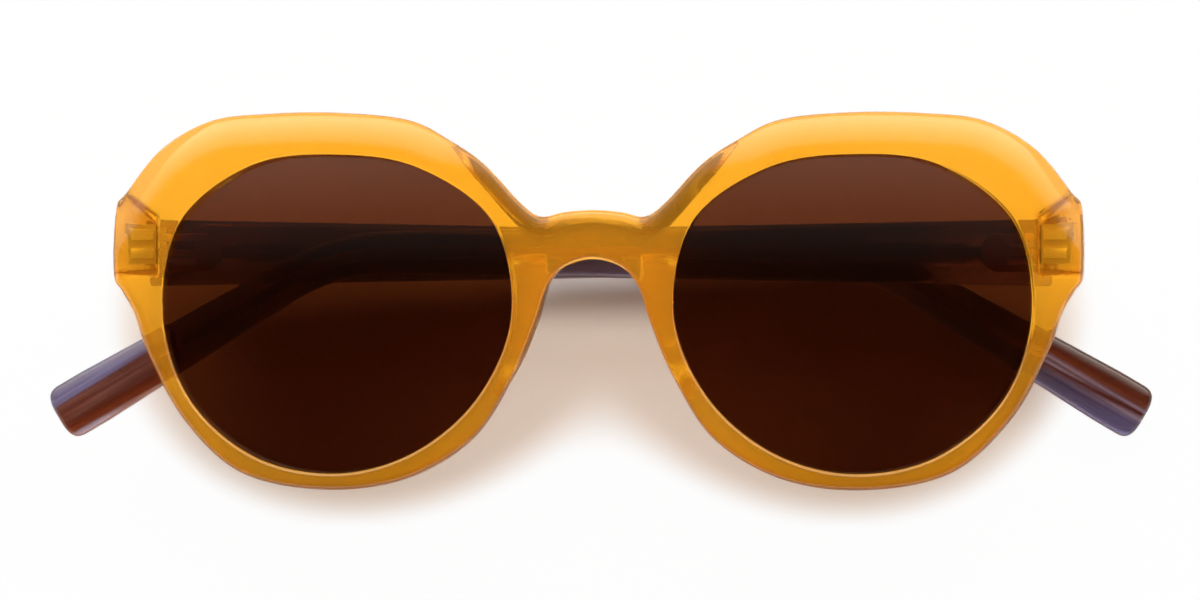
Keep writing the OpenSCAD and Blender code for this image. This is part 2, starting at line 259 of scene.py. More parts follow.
joinAll(streaks, [(goesIn.outputs["Vector"], moved.inputs[0]), (goesIn.outputs["Shift"], moved.inputs[1]),
                  (moved.outputs[0], long.inputs[0]), (long.outputs[0], layer.inputs["Vector"]),
                  (moved.outputs[0], fine.inputs[0]), (fine.outputs[0], thread.inputs["Vector"]),
                  (goesIn.outputs["Vector"], apart.inputs[0]),
                  (apart.outputs["Y"], height.inputs["Value"]), (layer.outputs[0], centred.inputs[0]),
                  (centred.outputs[0], sway.inputs[0]), (goesIn.outputs["Waviness"], sway.inputs[1]),
                  (height.outputs[0], total.inputs[0]), (sway.outputs[0], total.inputs[1]),
                  (total.outputs[0], goesOut.inputs["Layer"]),
                  (thread.outputs[0], goesOut.inputs["Thread"])])


# Roughness and normal of a polished piece, from its Object coordinates
def usePolish(tree, shader, values):
    where = newNode(tree, "ShaderNodeTexCoord")
    node = newNode(tree, "ShaderNodeGroup", values, node_tree=polish)
    tree.links.new(where.outputs["Object"], node.inputs["Vector"])
    tree.links.new(node.outputs["Roughness"], shader.inputs["Roughness"])
    tree.links.new(node.outputs["Normal"], shader.inputs["Normal"])
    return node


acetate = {"IOR": 1.49, "Coat Weight": 0.5, "Coat Roughness": 0.06}
honeyPolish = {"Cloud Scale": 45.0, "Low Roughness": 0.03, "High Roughness": 0.07}
amber = {"clear": (1.0, 0.525, 0.026), "milky": (1.0, 0.555, 0.040), "lamp": (0.80, 0.34, 0.06),
         "thin": 4.1, "thick": 6.2, "deeper": (0.72, 0.52, 0.30),
         "pad": (0.93, 0.80, 0.42), "padMilky": (0.95, 0.82, 0.48)}

# The front is deeper in colour where its plastic is thicker, and in a painted shade band along the lug's
# slant
amberAcetate, tree, shader, out = startMaterial("amberAcetate", {"Transmission Weight": 0.8, **acetate})
finish = usePolish(tree, shader, honeyPolish)
body = twoShades(tree, amber["clear"], amber["milky"])
place = newNode(tree, "ShaderNodeAttribute", attribute_name="along")
apart = newNode(tree, "ShaderNodeSeparateXYZ")
share = newNode(tree, "ShaderNodeMapRange", {"From Min": amber["thin"], "From Max": amber["thick"]})
joinAll(tree, [(finish.outputs["Cloud"], body.inputs[0]), (place.outputs["Vector"], apart.inputs[0]),
               (apart.outputs["X"], share.inputs["Value"])])
# Deeper colour where the plastic is thicker, and the painted shade band along the lug's slant
deeper = product(tree, body.outputs[0], amber["deeper"], share.outputs[0])
tree.links.new(deeper, shader.inputs["Base Color"])
letLampsThrough(tree, shader, out, amber["lamp"])

# The glued pads add little colour of their own behind the rims
padAcetate, tree, shader, out = startMaterial("padAcetate", {"Transmission Weight": 0.95, **acetate})
finish = usePolish(tree, shader, honeyPolish)
body = twoShades(tree, amber["pad"], amber["padMilky"])
tree.links.new(finish.outputs["Cloud"], body.inputs[0])
tree.links.new(body.outputs[0], shader.inputs["Base Color"])
letLampsThrough(tree, shader, out, amber["pad"])

tint = {"glass": (0.122, 0.029, 0.0062), "deep": (0.110, 0.025, 0.0048), "lamp": (0.05, 0.012, 0.004)}
lensTint, tree, shader, out = startMaterial(
    "lensTint", {"Transmission Weight": 1.0, "IOR": 1.5, "Metallic": 0.0})
finish = usePolish(
    tree, shader, {"Cloud Scale": 20.0, "Low Roughness": 0.0, "High Roughness": 0.012, "Ripple": 0.0})
body = twoShades(tree, tint["glass"], tint["deep"])
tree.links.new(finish.outputs["Cloud"], body.inputs[0])
tree.links.new(body.outputs[0], shader.inputs["Base Color"])
letLampsThrough(tree, shader, out, tint["lamp"])

streaked = {"thread": (0.55, 0.45, 0.45), "threadSpan": (0.35, 0.6), "bendEnd": 106.0,
            "atHinge": (1, 0.95, 0.9), "paintedShade": (0.4, 0.33, 0.36), "paintedShadeSpan": (0.11, 0.17, 0.77),
            "lamp": (0.26, 0.17, 0.18)}


# Colour bands by height, times fine threads, times a painted shade along the stretch over the core wire
def streakedAcetate(name, shift, bands):
    material, tree, shader, out = startMaterial(
        name, {**acetate, "Transmission Weight": 0.85, "Coat Roughness": 0.03})
    usePolish(tree, shader, {"Low Roughness": 0.03, "High Roughness": 0.09})
    place = newNode(tree, "ShaderNodeAttribute", attribute_name="along")
    node = newNode(tree, "ShaderNodeGroup", {"Shift": shift}, node_tree=streaks)
    body = ramp(tree, bands)
    starts, ends = streaked["threadSpan"]
    thread = ramp(tree, [(starts, streaked["thread"]), (ends, plain)])
    apart = newNode(tree, "ShaderNodeSeparateXYZ")
    toTip = newNode(tree, "ShaderNodeMapRange", {"From Max": streaked["bendEnd"]})
    leaves, starts, ends = streaked["paintedShadeSpan"]
    # Painted shade: darker over the core wire's stretch, a little lighter at the hinge end, plain by the
    # end of the ear bend
    middle = ramp(tree, [(leaves, streaked["atHinge"]), (starts, streaked["paintedShade"]),
                         (ends, streaked["paintedShade"]), (1.0, plain)])
    joinAll(tree, [(place.outputs["Vector"], node.inputs["Vector"]),
                   (node.outputs["Layer"], body.inputs[0]), (node.outputs["Thread"], thread.inputs[0]),
                   (place.outputs["Vector"], apart.inputs[0]), (apart.outputs["X"], toTip.inputs["Value"]),
                   (toTip.outputs[0], middle.inputs[0])])
    threaded = product(tree, body.outputs[0], thread.outputs[0])
    tree.links.new(product(tree, threaded, middle.outputs[0]), shader.inputs["Base Color"])
    letLampsThrough(tree, shader, out, streaked["lamp"])
    return material


purple, pale, brown, dark = (0.34, 0.33, 0.56), (0.70, 0.65, 0.80), (0.27, 0.06, 0.02), (0.12, 0.04, 0.025)
templeRightAcetate = streakedAcetate("templeRightAcetate", (20.0, 3.0, 0.0), [
    (0.0, purple), (0.18, pale), (0.30, pale), (0.38, brown),
    (0.55, brown), (0.62, purple), (0.8, purple), (1.0, dark)])
templeLeftAcetate = streakedAcetate("templeLeftAcetate", (310.0, -14.0, 5.0), [
    (0.0, dark), (0.15, purple), (0.35, purple), (0.42, pale),
    (0.52, brown), (0.56, pale), (0.68, brown), (1.0, dark)])

satin = {"grain": (1500.0, 1500.0, 12000.0), "smoother": 0.06, "rougher": 0.1, "depthTint": (0.12, 0.9),
         "hinge": ((0.78, 0.75, 0.69), (0.70, 0.67, 0.61)), "hingeRoughness": 0.3,
         "wire": ((0.90, 0.70, 0.46), (0.80, 0.60, 0.38)), "wireRoughness": 0.34}


# Satin metal: fine brushed lines and slightly duller patches, and a warmer, darker colour over part of its
# depth where asked
def satinMetal(name, shades, roughness, tintedDepth=None):
    material, tree, shader, _ = startMaterial(name, {"Metallic": 1.0})
    where = newNode(tree, "ShaderNodeTexCoord")
    stretch = newNode(tree, "ShaderNodeMapping", {"Scale": satin["grain"]})
    grain = newNode(tree, "ShaderNodeTexNoise", {"Scale": 1.0, "Detail": 1.0})
    body = twoShades(tree, shades[1], shades[0])
    rough = newNode(tree, "ShaderNodeMapRange", {"To Min": roughness - satin["smoother"],
                                                 "To Max": roughness + satin["rougher"]})
    joinAll(tree, [(where.outputs["Object"], stretch.inputs[0]),
                   (stretch.outputs[0], grain.inputs["Vector"]), (grain.outputs[0], body.inputs[0]),
                   (grain.outputs[0], rough.inputs[0]), (body.outputs[0], shader.inputs["Base Color"]),
                   (rough.outputs[0], shader.inputs["Roughness"])])
    if tintedDepth:
        apart = newNode(tree, "ShaderNodeSeparateXYZ")
        depth = newNode(tree, "ShaderNodeMapRange", {"From Min": tintedDepth["front"] * mm,
                                                     "From Max": tintedDepth["back"] * mm})
        starts, ends = satin["depthTint"]
        depthTint = ramp(tree, [(0.0, plain), (starts, tintedDepth["colour"]),
                           (ends, tintedDepth["colour"]), (1.0, plain)], "LINEAR")
        joinAll(tree, [(where.outputs["Object"], apart.inputs[0]),
                       (apart.outputs["Y"], depth.inputs["Value"]), (depth.outputs[0], depthTint.inputs[0])])
        tree.links.new(product(tree, body.outputs[0], depthTint.outputs[0]), shader.inputs["Base Color"])
    return material


hingeMetal = satinMetal("hingeMetal", satin["hinge"], satin["hingeRoughness"])
wireMetal = satinMetal("wireMetal", satin["wire"], satin["wireRoughness"])
print("materials ready")


# Front

lens = {"width": 51, "height": 45.5, "thick": 1.9, "ball": 200, "groove": 0.55, "forward": 0.6,
        "shown": 0.1, "bevel": 0.08, "steps": 14, "rings": 20, "ringsTo": 0.97,
        "edgeRings": (0.985, 0.995, 1.0)}
front = {"bridge": 21, "thick": 4, "curve": 300, "rise": 7.65, "bridgeHeight": 6.8, "top": 5.3,
         "bottom": 1.7, "end": 6.4, "edge": 0.5, "backEdge": 0.5, "holeBack": 0.25, "innerEdge": 0.45,
         "innerTop": 0.1, "innerSpan": (-6, 10), "browBevel": 2.5, "browSlope": 0.85, "bevelEnds": (16, 23),
         "bevelStarts": (3.5, 5.5), "crown": 4.8, "browCrown": 2.0, "lowCrown": 1.2, "crownSlope": 0.6,
         "bridgeShare": 0.35, "crownSpan": (14, 26), "slopeSpan": (13, 24), "lowSpan": (1, 7),
         "rimStations": 340, "seamStations": 14, "across": 44, "wall": 4, "softens": 12, "longest": 7,
         "pull": 0.8, "evening": 0.05, "split": 7.4, "middle": 20, "steps": 12, "touch": 1e-6}
lensX, lensZ = (lens["width"] + front["bridge"]) / 2, -front["rise"]
halfW, halfH = lens["width"] / 2, lens["height"] / 2
backR = front["curve"] - front["thick"]
lensUnit = np.array([[0.99, 0], [0.89, 0.58], [0.48, 0.935], [0, 1], [-0.47, 0.915], [-0.885, 0.58],
                     [-0.99, 0], [-0.805, -0.515], [-0.445, -0.865], [0, -1], [0.465, -0.895],
                     [0.835, -0.535]])
ft, fb, fe = front["top"], front["bottom"], front["end"]
# Each row: a point of the lens as a share of its half sizes, then the rim's step outwards from it
rimRows = np.array([
    [-0.75, 0.74, -1.7, ft - 1.3], [-0.6, 0.85, -0.7, ft - 0.5], [-0.4, 0.94, 0.2, ft + 0.35],
    [0, 1, 0, ft], [0.4, 0.95, -0.2, ft + 1], [0.65, 0.85, 1.4, ft + 2.3], [0.88, 0.6, fe - 3.8, ft + 4.1],
    [1, 0.35, fe - 1.8, 9], [1, 0.35, fe - 0.3, 6.6], [1, 0.15, fe - 0.1, 2.3], [1, 0, fe - 1.3, 3.2],
    [1, 0, 3.3, 0], [0.97, -0.25, 2, -0.15], [0.79, -0.6, 1.4, -1.3], [0.5, -0.88, 0.75, -fb - 0.4],
    [0.05, -1, 0.7, -fb], [-0.36, -0.92, -0.3, -fb - 0.4], [-0.68, -0.69, -1.7, -1.75],
    [-0.9, -0.33, -1.85, -1.15], [-1, 0, -2.5, -1.05], [-1, 0.16, -4.1, 0.1]])
bridgeTop = np.array([[0, 0], [0.38, -0.3], [0.69, -0.9], [0.96, 1]])
noseArch = np.array([[0.38, -1.1], [0, 0]])


# Lens outline: unit points times half its sizes, grown by a margin, about its centre
def lensOutline(grow, steps=front["steps"]):
    return closedCurve(np.array([lensX, lensZ]) + lensUnit * (np.array([halfW, halfH]) + grow), steps)


# Right half of the front's outline, from the bridge's top round the rim to the nose arch
def frontPoints():
    top = bridgeTop * [front["bridge"] / 2, 1] + [0, front["bridgeHeight"]]
    rim = rimRows[:, :2] * [halfW, halfH] + rimRows[:, 2:] + [lensX, lensZ]
    return np.vstack([top, rim, noseArch * [front["bridge"] / 2, 1]])


# Depth of a round face of the given radius at a distance from the middle
def faceY(x, radius):
    return backR - np.sqrt(radius * radius - x * x)


half = frontPoints()
wholeLine = closedCurve(np.vstack([half, half[-2:0:-1] * [-1, 1]]), front["steps"])
halfLine = np.vstack([wholeLine[:(len(half) - 1) * front["steps"]], half[-1:]])
hole = lensOutline(-lens["groove"])


# Place on the lens opening in nearly the same direction from the lens centre, never turning back
def towardsLens(points):
    angle = np.unwrap(np.arctan2(points[:, 1] - lensZ, points[:, 0] - lensX))
    even = angle[0] - np.linspace(0, 2 * np.pi, len(angle), endpoint=False)
    angle = np.minimum.accumulate(angle) * (1 - front["evening"]) + even * front["evening"]
    edge = hole - [lensX, lensZ]
    order = np.argsort(np.arctan2(edge[:, 1], edge[:, 0]))
    ang, rad = np.arctan2(edge[:, 1], edge[:, 0])[order], np.hypot(*edge.T)[order]
    r = np.interp(angle, ang, rad, period=2 * np.pi)
    return np.stack([lensX + r * np.cos(angle), lensZ + r * np.sin(angle)], 1)


hinge = {"aside": 0.3, "z": 0.9, "height": 5.5, "barrel": 1.3, "lugDeep": 2, "gap": 0.1}
hinge["x"] = lensX + halfW + hinge["aside"]
hinge["lugY"] = float(faceY(hinge["x"], backR)) + hinge["lugDeep"]
hinge["y"] = hinge["lugY"] + hinge["barrel"] + hinge["gap"]
lug = {"margin": 0.6, "inner": 9.0, "outer": 10.0, "lean": 0.79, "side": lensX + halfW + front["end"],
       "slant": 0.6, "paintedSlantShade": 1.6, "topSlant": 2.4, "lowShare": 0.5, "edge": 0.8}
lug["x"] = hinge["x"] - lug["margin"]
lug["low"] = hinge["z"] - hinge["height"] / 2 - lug["margin"]


# Paths from the opening to the outline that leave and meet both squarely: cubics with those end directions
def bentPaths(inner, outer, q):
    run = np.roll(outer, -1, 0) - np.roll(outer, 1, 0)
    meet = np.stack([-run[:, 1], run[:, 0]], 1) / np.linalg.norm(run, axis=1, keepdims=True)
    for _ in range(front["softens"]):
        meet = (np.roll(meet, 1, 0) + 2 * meet + np.roll(meet, -1, 0)) / 4
    leave = inner - [lensX, lensZ]
    leave = leave / np.linalg.norm(leave, axis=1, keepdims=True)
    far = np.linalg.norm(outer - inner, axis=1, keepdims=True)
    pull = front["pull"] * np.minimum(far, front["longest"])
    a, b, c, d = (w[:, None, :] for w in (inner, outer, leave * pull, meet * pull))
    q = q[None, :, None]
    ends = a * (2 * q**3 - 3 * q**2 + 1) + b * (3 * q**2 - 2 * q**3)
    return ends + c * (q**3 - 2 * q**2 + q) + d * (q**3 - q**2)


# Front and back at flat points: curved faces with their crown, rounded edges, brow bevel and lug; also the
# depth of plastic, with a painted shade band along the lug's slant added
def frontFaces(flat):
    toEdge, edgeZ = toLine(flat, wholeLine)
    toHole, _ = toLine(flat, hole)
    x, z = flat[..., 0], flat[..., 1]
    above = front["browCrown"] + (front["crown"] - front["browCrown"]) * ease(x, *front["crownSpan"])
    deep = front["lowCrown"] + (above - front["lowCrown"]) * ease(edgeZ, *front["lowSpan"])
    share = front["bridgeShare"] + (1 - front["bridgeShare"]) * ease(x, *front["slopeSpan"])
    crown = front["crownSlope"] * share / 2 * deep * np.clip(1 - toEdge / deep, 0, 1) ** 2
    low, high = (lensZ + step for step in front["innerSpan"])
    inside = front["innerEdge"] + (front["innerTop"] - front["innerEdge"]) * ease(z, low, high)
    yFront = faceY(x, front["curve"]) + crown + roundOff(toEdge, front["edge"]) + roundOff(toHole, inside)
    wide = front["browBevel"] * (1 - ease(x, *front["bevelEnds"])) * ease(edgeZ, *front["bevelStarts"])
    brow = np.clip(wide - toEdge, 0, None) * front["browSlope"]
    yBack = faceY(x, backR) - np.maximum(roundOff(toEdge, front["backEdge"]), brow)
    yBack = yBack - roundOff(toHole, front["holeBack"])
    flatter = lug["slant"] / lug["topSlant"]
    inLug = np.minimum.reduce([x - lug["x"], (z - lug["low"]) * lug["lowShare"],
                               (lug["low"] + lug["inner"] + (x - lug["x"]) * lug["lean"] - z) * flatter,
                               (lug["low"] + lug["outer"] + lug["side"] - x - z) * flatter,
                               toEdge + lug["slant"]])
    rise = ease(inLug, 0, lug["slant"])
    yBack = yBack + (hinge["lugY"] - roundOff(toEdge, lug["edge"]) - yBack) * rise * (inLug > 0)
    # Painted shade: a darker band along the lug's slant, added to the depth that deepens the colour
    paintedSlantShade = 4 * rise * (1 - rise) * (inLug > 0) * lug["paintedSlantShade"]
    return np.stack([x, yFront, z], -1), np.stack([x, yBack, z], -1), yBack - yFront + paintedSlantShade


# Closes the faces into rings with a wall at either end, and notes the depth of plastic at each point, the
# painted shade band along the lug's slant included
def ringOf(flat):
    face, back, depth = frontFaces(flat)
    back = back[:, ::-1]
    w = np.linspace(0, 1, front["wall"] + 2)[1:-1][None, :, None]
    outWall = face[:, -1:] * (1 - w) + back[:, :1] * w
    inWall = back[:, -1:] * (1 - w) + face[:, :1] * w
    deep = depth[..., None] * [1.0, 0.0, 0.0]
    outer, inner = (np.repeat(deep[:, [k]], front["wall"], 1) for k in (-1, 0))
    rings = np.concatenate([face, outWall, back, inWall], 1)
    return rings, np.concatenate([deep, outer, deep[:, ::-1], inner], 1)


# Right half: rings round the lens as far as a cut through the bridge, and columns from there to the middle
def frontHalf():
    cut = front["split"]
    beyond = np.flatnonzero(halfLine[:, 0] > cut)
    top, arch = halfLine[:beyond[0] + 1], halfLine[beyond[-1]:][::-1]
    x = np.linspace(0, cut, front["middle"])[:, None]
    topZ, archZ = (np.interp(x, line[:, 0], line[:, 1]) for line in (top, arch))
    v = 0.5 - 0.5 * np.cos(np.linspace(0, np.pi, front["seamStations"] + 2))
    middle = np.stack([x + 0 * v, archZ + (topZ - archZ) * v], -1)
    line = np.vstack([middle[-1, -1:], halfLine[beyond], middle[-1, :1]])
    outer = np.vstack([spread(line, front["rimStations"]), middle[-1, 1:-1]])
    q = 0.5 - 0.5 * np.cos(np.linspace(0, np.pi, front["across"]))
    ring, along = ringOf(bentPaths(towardsLens(outer), outer, q))
    quads = cells(*ring.shape[:2], closeRows=True, closeColumns=True)
    points = ring.reshape(-1, 3)
    onCut = (np.abs(points[quads][:, :, 0] - cut) < front["touch"]).all(1)
    bridge, bridgeAlong = ringOf(middle)
    more = cells(*bridge.shape[:2], closeColumns=True) + len(points)
    return (np.vstack([points, bridge.reshape(-1, 3)]),
            np.vstack([along.reshape(-1, 3), bridgeAlong.reshape(-1, 3)]), np.vstack([quads[~onCut], more]))


points, along, quads = frontHalf()
frontPiece = makePiece("front", np.vstack([points, mirrored(points)]),
                       np.vstack([quads, quads[:, ::-1] + len(points)]), amberAcetate,
                       along=np.vstack([along, along]))
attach(frontPiece, "front")
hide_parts("front_frame")
print("front made", len(frontPiece.data.polygons), "faces")


# Lenses

wrap = math.asin(lensX / front["curve"])
midR = front["curve"] - front["thick"] / 2 + lens["forward"]
reach = lens["ball"] - lens["thick"] / 2
ball = [(midR - reach) * math.sin(wrap), backR - (midR - reach) * math.cos(wrap), lensZ]


# Two spherical caps about one centre, from the middle to just inside the groove, with a narrow edge bevel
def lensPoints():
    edge = lensOutline(lens["shown"] - lens["groove"], lens["steps"]) - [lensX, lensZ]
    r = np.concatenate([np.linspace(0, lens["ringsTo"], lens["rings"]), lens["edgeRings"]])
    flat = [lensX, lensZ] + edge[:, None, :] * r[None, :, None]
    x, z = flat[..., 0] - ball[0], flat[..., 1] - ball[2]
    y0 = ball[1] - np.sqrt(lens["ball"] ** 2 - x * x - z * z)
    y1 = ball[1] - np.sqrt((lens["ball"] - lens["thick"]) ** 2 - x * x - z * z)
    pull = roundOff((1 - r) * halfW, lens["bevel"])
    face = np.stack([flat[..., 0], y0 + pull, flat[..., 1]], -1)
    back = np.stack([flat[..., 0], y1 - pull, flat[..., 1]], -1)[:, ::-1]
    ring = np.concatenate([face, back], 1)
    return ring.reshape(-1, 3), cells(*ring.shape[:2], closeRows=True)


points, quads = lensPoints()
for side, put in (("right", points), ("left", mirrored(points))):
    piece = makePiece("lens-" + side, put, quads, lensTint)
    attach(piece, "front")
    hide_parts("lens_" + side)
print("lenses made")


# Nose pads

pad = {"length": 20, "deep": 5, "inwards": 2, "drop": 1.5, "width": 5.2, "lip": 0.9, "shoulder": -3.9,
       "noseSide": 15, "fromEdge": 0.05, "fromHole": 0.2, "narrows": 0.4, "narrowest": 0.0004,
       "lowEnd": 0.4, "topRound": 0.5, "sideRound": 0.6, "lift": 0.02, "skin": 0.03, "skinEnds": 0.03,
       "along": 80, "across": 30}


# A bank on the back of the rim's nose side: a ball's height and a low lip at its top, its sides rounded off
def padPoints():
    ballR = (pad["length"] ** 2 / 4 + pad["deep"] ** 2) / (2 * pad["deep"])
    midX, midZ = front["bridge"] / 2 - pad["inwards"], lensZ - pad["drop"]
    side = halfLine[(halfLine[:, 0] < lensX - pad["noseSide"]) & (halfLine[:, 1] < pad["shoulder"])]
    side = side[side[:, 1].argsort()]
    rim = hole[hole[:, 0] < lensX]
    rim = rim[rim[:, 1].argsort()]
    u, v = np.linspace(0, 1, pad["along"])[:, None], np.linspace(0, 1, pad["across"])[None]
    z = midZ - pad["length"] / 2 * np.cos(u * np.pi)
    x0 = np.interp(z, side[:, 1], side[:, 0]) + pad["fromEdge"]
    x1 = np.minimum(np.interp(z, rim[:, 1], rim[:, 0]) - pad["fromHole"], x0 + pad["width"])
    x1 = x0 + (x1 - x0) * np.sqrt(np.clip(u / pad["narrows"], pad["narrowest"], 1))
    x = x0 + (x1 - x0) * (0.5 - 0.5 * np.cos(v * np.pi))
    z = z + 0 * x
    top = pad["deep"] - ballR + np.sqrt(np.clip(ballR**2 - (x - midX) ** 2 - (z - midZ) ** 2, 0, None))
    low = ease(u, 0, pad["lowEnd"])
    high = np.clip((1 - u) * pad["length"] / pad["topRound"], 0, 1)
    across = np.clip(np.minimum(v, 1 - v) * pad["width"] / pad["sideRound"], 0, 1)
    soft = low * np.sqrt(high) * np.sqrt(across)
    base = faceY(x, backR) + pad["lift"]
    lip = pad["lip"] * ease(z, midZ, midZ + pad["length"] / 2)
    skin = pad["skin"] * np.clip(np.minimum(u, 1 - u) / pad["skinEnds"], 0, 1)
    over = np.stack([x, base + skin + (np.clip(top - base, 0, None) + lip) * soft, z], -1)
    under = np.stack([x, base, z], -1)[:, ::-1]
    ring = np.concatenate([over, under], 1)
    return ring.reshape(-1, 3), cells(*ring.shape[:2], closeColumns=True)


points, quads = padPoints()
for side, put in (("right", points), ("left", mirrored(points))):
    piece = makePiece("nose-pad-" + side, put, quads, padAcetate)
    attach(piece, "front")
    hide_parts("nose_pad_" + side)
print("nose pads made")


# Temples

temple = {"length": 145, "thick": 4, "tipThick": 3.2, "height": 9.4, "bendHeight": 5.6, "tipHeight": 7.8,
          "bendStart": 91, "bendRadius": 28, "bendAngle": 30.5, "buttGap": 0.15, "clear": 0.3, "slim": 0.6,
          "tipRound": 2.6, "tipPower": 3.2, "endPower": 4, "square": 5.0, "swell": 0.2, "tipFull": 6,
          "around": 48, "buttSteps": (0, 0, 0.06, 0.2, 0.45), "buttSizes": (0, 0.86, 0.93, 0.98, 1),
          "bodyFrom": 1, "bodyRows": 120, "tipFrom": 0.06, "tipRows": 18, "crease": 60,
          "foldRight": 91.8, "foldLeft": 86.5}
temple["in"] = hinge["barrel"] + temple["clear"]
butt = hinge["y"] - hinge["lugY"] - temple["buttGap"]
tipS = temple["length"] - butt
arc = temple["bendRadius"] * math.radians(temple["bendAngle"])
halfRows = np.array([
    [-butt, temple["height"] / 2],
    [temple["slim"] * temple["bendStart"],
     (temple["height"] + 2 * temple["bendHeight"]) / 6 + temple["swell"]],
    [temple["bendStart"], temple["bendHeight"] / 2 + temple["swell"]],
    [temple["bendStart"] + arc, temple["bendHeight"] / 2],
    [tipS - temple["tipFull"], temple["tipHeight"] / 2], [tipS, temple["tipHeight"] / 2]])


# Middle line of an open temple: straight, round the ear bend, straight on to the tip
def templeLine(s):
    turn = np.clip((s - temple["bendStart"]) / temple["bendRadius"], 0, math.radians(temple["bendAngle"]))
    rest = np.clip(s - temple["bendStart"] - arc, 0, None)
    back = np.minimum(s, temple["bendStart"]) + temple["bendRadius"] * np.sin(turn) + rest * np.cos(turn)
    down = -temple["bendRadius"] * (1 - np.cos(turn)) - rest * np.sin(turn)
    return back, down, turn


# A squared-off ellipse carried along that line, its size from the height rows, the ends drawn in
def templePoints():
    start = -butt + np.array(temple["buttSteps"])
    body = np.linspace(-butt + temple["bodyFrom"], tipS - temple["tipRound"], temple["bodyRows"])
    turn = np.linspace(temple["tipFrom"], 1, temple["tipRows"]) * np.pi / 2
    tip = tipS - temple["tipRound"] + temple["tipRound"] * np.sin(turn)
    s = np.concatenate([start, body, tip])[:, None]
    u = np.clip((s - tipS + temple["tipRound"]) / temple["tipRound"], 0, 1)
    full = (1 - u ** temple["tipPower"]) ** (1 / temple["tipPower"])
    high = np.interp(s, halfRows[:, 0], halfRows[:, 1]) * full
    share = (s + butt) / (tipS + butt)
    thick = temple["thick"] + (temple["tipThick"] - temple["thick"]) * share
    wide = thick * (1 - u ** temple["endPower"]) ** (1 / temple["endPower"])
    shrink = np.ones_like(s)
    shrink[:len(start), 0] = temple["buttSizes"]
    a = np.linspace(0, 2 * np.pi, temple["around"], endpoint=False)[None]
    power = 2 / temple["square"]
    out = np.sign(np.cos(a)) * np.abs(np.cos(a)) ** power
    up = np.sign(np.sin(a)) * np.abs(np.sin(a)) ** power
    x = temple["in"] + thick / 2 + out * wide / 2 * shrink
    h = up * high * shrink
    back, down, turn = templeLine(s)
    points = np.stack([x, back + h * np.sin(turn), down + h * np.cos(turn)], -1)
    along = np.stack([s + 0 * h, h, x], -1)
    return points.reshape(-1, 3), along.reshape(-1, 3), cells(*x.shape, closeColumns=True)


# Turns points of an open right temple about the hinge axis
def fold(points, degrees):
    c, s = math.cos(math.radians(degrees)), math.sin(math.radians(degrees))
    x, y = points[:, 0], points[:, 1]
    return np.stack([hinge["x"] + c * x - s * y, hinge["y"] + s * x + c * y, hinge["z"] + points[:, 2]], 1)


points, along, quads = templePoints()
for side, put, material in (("right", fold(points, temple["foldRight"]), templeRightAcetate),
                            ("left", mirrored(fold(points, temple["foldLeft"])), templeLeftAcetate)):
    piece = makePiece("temple-" + side, put, quads, material, temple["crease"], along)
    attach(piece, "temple_" + side)
    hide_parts("temple_" + side)
print("temples made")


# Hinges, screws and core wires keep their CAD shape, with their edges broken on a merged copy

leaf = {"deep": 1.45, "stands": 0.1, "colour": (0.76, 0.68, 0.54)}
metal = {"merge": 0.001, "flat": 4, "sharp": 40, "rows": 2}
leafMetal = satinMetal("leafMetal", satin["hinge"], satin["hingeRoughness"],
                       {"front": hinge["lugY"] - leaf["deep"], "back": hinge["lugY"] + leaf["stands"],
                        "colour": leaf["colour"]})
edges = {"front_hinge": 0.12, "temple_hinge": 0.12, "hinge_screw": 0.1, "core_wire": 0.08}
for part, width in edges.items():
    for side in ("right", "left"):
        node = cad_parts[part + "_" + side]
        mesh = node.data.copy()
        shape = bmesh.new()
        shape.from_mesh(mesh)
        bmesh.ops.remove_doubles(shape, verts=shape.verts, dist=metal["merge"] * mm)
        bmesh.ops.dissolve_limit(shape, angle_limit=math.radians(metal["flat"]),
                                 verts=shape.verts, edges=shape.edges)
        shape.to_mesh(mesh)
        shape.free()
        mesh.shade_smooth()
        mesh.set_sharp_from_angle(angle=math.radians(metal["sharp"]))
        mesh.materials.clear()
        mesh.materials.append({"core_wire": wireMetal, "front_hinge": leafMetal}.get(part, hingeMetal))
        piece = bpy.data.objects.new(part.replace("_", "-") + "-" + side, mesh)
        scene.collection.objects.link(piece)
        rounding = piece.modifiers.new("brokenEdges", "BEVEL")
        rounding.width, rounding.segments, rounding.limit_method = width * mm, metal["rows"], "ANGLE"
        rounding.angle_limit = math.radians(metal["sharp"])
        rounding.harden_normals = False
        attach(piece, ("temple_" + side) if part in ("temple_hinge", "core_wire") else "front")
        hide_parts(part + "_" + side)
print("metal parts made")


# Stage, lights and camera

# An upright sheet that faces the camera, or the glasses where it is turned round
def makeSheet(name, size, material, turned=False):
    x, y, low, high = size["wide"] / 2, size["y"], size["low"], size["high"]
    corners = np.array([[-x, y, low], [x, y, low], [x, y, high], [-x, y, high]])
    mesh = bpy.data.meshes.new(name)
    mesh.from_pydata((corners * mm).tolist(), [], [[0, 3, 2, 1] if turned else [0, 1, 2, 3]])
    mesh.materials.append(material)
    sheet = bpy.data.objects.new(name, mesh)
    scene.collection.objects.link(sheet)
    return sheet


# Smooth step between two places in millimetres, from a least value up to 1
def fadeOver(tree, places, least=0.0):
    return newNode(tree, "ShaderNodeMapRange", {"From Min": places[0] * mm, "From Max": places[1] * mm,
                                                "To Min": least}, interpolation_type="SMOOTHSTEP")


wall = {"y": 24.6, "wide": 1400, "low": -700, "high": 800, "colour": (0.96, 0.945, 0.93),
        "squash": 1.14, "aside": 1.4, "smooth": 8, "noseSide": 0.95, "fade": (28, 35), "below": (-33, -38),
        "above": (-2, 4), "gap": (9, 15), "under": (-4, -11), "least": 0.1,
        "white": (0.5, 0.98), "warm": (1.0, 0.84, 0.71)}
paper, tree, shader, out = startMaterial("paper", {"Roughness": 0.9, "Specular IOR Level": 0.0})
shader.inputs["Base Color"].default_value = (*wall["colour"], 1)
facing = newNode(tree, "ShaderNodeNewGeometry")
clear = newNode(tree, "ShaderNodeBsdfTransparent")
mix = newNode(tree, "ShaderNodeMixShader")
